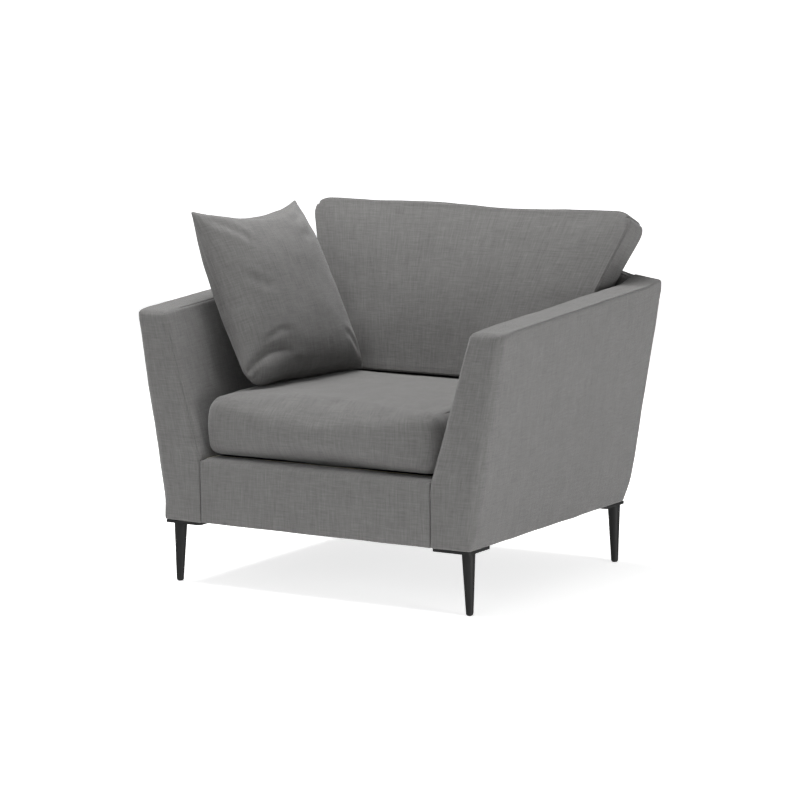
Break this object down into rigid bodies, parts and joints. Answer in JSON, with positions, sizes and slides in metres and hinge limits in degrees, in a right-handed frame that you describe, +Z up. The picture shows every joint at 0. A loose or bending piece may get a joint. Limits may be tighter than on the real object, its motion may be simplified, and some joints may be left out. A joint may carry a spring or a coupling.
{
  "type": "upholstered armchair",
  "caption": "Low splay-armed upholstered armchair with a loose seat cushion, a raked loose back cushion, a leaning scatter cushion and slim tapered metal legs.",
  "frame": {"origin": "on the floor under the middle of the chair", "axes": "+Z up, -Y the way the sitter faces, +X the sitter's left"},
  "size_m": [0.9908, 0.802, 0.8669],
  "materials": {
    "upholstery_fabric": "mid-grey melange linen-look weave, matt with a soft sheen",
    "frame_timber": "planed softwood, unfinished",
    "carcass_foam": "pale cream polyurethane foam with wadding",
    "cushion_foam": "high-resilience polyurethane foam in fibre wrap",
    "fibre_fill": "white hollow-fibre pad",
    "insulator_felt": "needled felt",
    "platform_cloth": "dark plain-weave platform cloth",
    "dust_cloth": "black non-woven cloth",
    "elastic_webbing": "woven elastic webbing",
    "spring_steel": "drawn spring wire, lightly oiled",
    "screw_steel": "zinc plated",
    "black_steel": "satin black powder coat",
    "glide_plastic": "black moulded nylon",
    "zip_tape": "grey coil zip on woven tape",
    "zip_metal": "dark grey enamelled slider"
  },
  "bodies": {
    "chair": {"arm_cover_left": "upholstery_fabric", "arm_cover_right": "upholstery_fabric", "arm_foam_left": "carcass_foam", "arm_foam_right": "carcass_foam", "arm_front_post_left": "frame_timber", "arm_front_post_right": "frame_timber", "arm_rear_post_left": "frame_timber", "arm_rear_post_right": "frame_timber", "arm_top_rail_left": "frame_timber", "arm_top_rail_right": "frame_timber", "back_bottom_rail": "frame_timber", "back_foam": "carcass_foam", "back_post_left": "frame_timber", "back_post_right": "frame_timber", "back_top_rail": "frame_timber", "back_webbing": "elastic_webbing", "corner_blocks": "frame_timber", "deck_cloth": "platform_cloth", "deck_pad": "carcass_foam", "dust_cover": "dust_cloth", "front_rail": "frame_timber", "front_rail_cover": "upholstery_fabric", "front_rail_foam": "carcass_foam", "inside_back_cover": "upholstery_fabric", "leg_front_left": "black_steel", "leg_front_right": "black_steel", "leg_glide_front_left": "glide_plastic", "leg_glide_front_right": "glide_plastic", "leg_glide_rear_left": "glide_plastic", "leg_glide_rear_right": "glide_plastic", "leg_plate_front_left": "black_steel", "leg_plate_front_right": "black_steel", "leg_plate_rear_left": "black_steel", "leg_plate_rear_right": "black_steel", "leg_rear_left": "black_steel", "leg_rear_right": "black_steel", "leg_screws": "screw_steel", "outside_back_cover": "upholstery_fabric", "rear_rail": "frame_timber", "seat_springs": "spring_steel", "side_rail_left": "frame_timber", "side_rail_right": "frame_timber", "spring_clips": "spring_steel", "spring_insulator": "insulator_felt"},
    "seat_cushion": {"seat_cushion_cover": "upholstery_fabric", "seat_cushion_core": "cushion_foam", "seat_cushion_zip": "zip_tape"},
    "back_cushion": {"back_cushion_cover": "upholstery_fabric", "back_cushion_core": "cushion_foam", "back_cushion_zip": "zip_tape"},
    "scatter_cushion": {"scatter_cushion_cover": "upholstery_fabric", "scatter_cushion_pad": "fibre_fill", "scatter_cushion_zip": "zip_tape"},
    "seat_slider": {"seat_zip_slider": "zip_metal"},
    "back_slider": {"back_zip_slider": "zip_metal"},
    "scatter_slider": {"scatter_zip_slider": "zip_metal"}
  },
  "joints": [
    {"name": "seat_cushion_slide", "type": "slide", "parent": "chair", "child": "seat_cushion", "axis": [0, -1, 0], "range_m": [0, 0.25]},
    {"name": "back_cushion_lift", "type": "slide", "parent": "chair", "child": "back_cushion", "axis": [0, 0.3536, 0.9354], "range_m": [0, 0.25]},
    {"name": "scatter_cushion_lift", "type": "slide", "parent": "seat_cushion", "child": "scatter_cushion", "axis": [0, 0, 1], "range_m": [0, 0.25]},
    {"name": "seat_zip", "type": "slide", "parent": "seat_cushion", "child": "seat_slider", "axis": [1, 0, 0], "range_m": [0, 0.5]},
    {"name": "back_zip", "type": "slide", "parent": "back_cushion", "child": "back_slider", "axis": [1, 0, 0], "range_m": [0, 0.5]},
    {"name": "scatter_zip", "type": "slide", "parent": "scatter_cushion", "child": "scatter_slider", "axis": [0, 1, 0], "range_m": [0, 0.3]}
  ]
}
